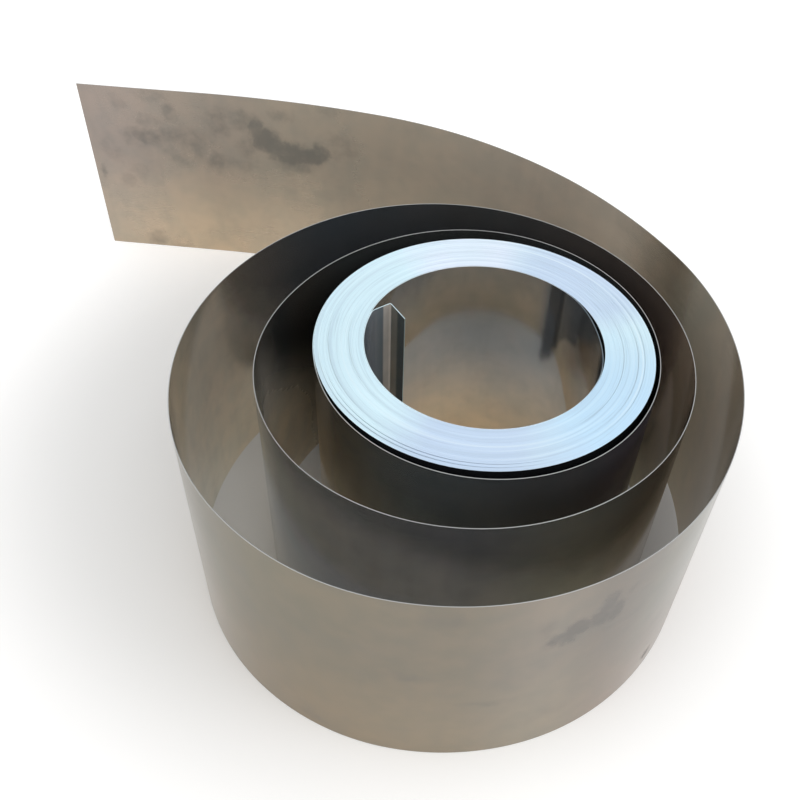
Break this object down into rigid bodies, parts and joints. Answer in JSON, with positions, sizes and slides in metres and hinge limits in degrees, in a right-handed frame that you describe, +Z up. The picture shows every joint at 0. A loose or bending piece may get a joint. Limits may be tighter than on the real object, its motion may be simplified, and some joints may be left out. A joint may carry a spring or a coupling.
{
  "type": "aluminium flashing coil",
  "caption": "Coil of thin aluminium flashing strip standing on end, wound tight round an open bore, with loose outer turns and a free end trailing away.",
  "frame": {"origin": "under the middle of the bounding box, on the plane the coil stands on", "axes": "+Z up along the strip's width and the coil's bore, +X to the right along the longest side, away from the free end, +Y towards the back, where the free end trails"},
  "size_m": [0.4806, 0.4268, 0.15],
  "materials": {
    "mill_aluminium": "mill finish, slightly weathered, semi-bright, with faint grey stains"
  },
  "bodies": {
    "root": {"flashing_strip": "mill_aluminium"}
  },
  "joints": []
}
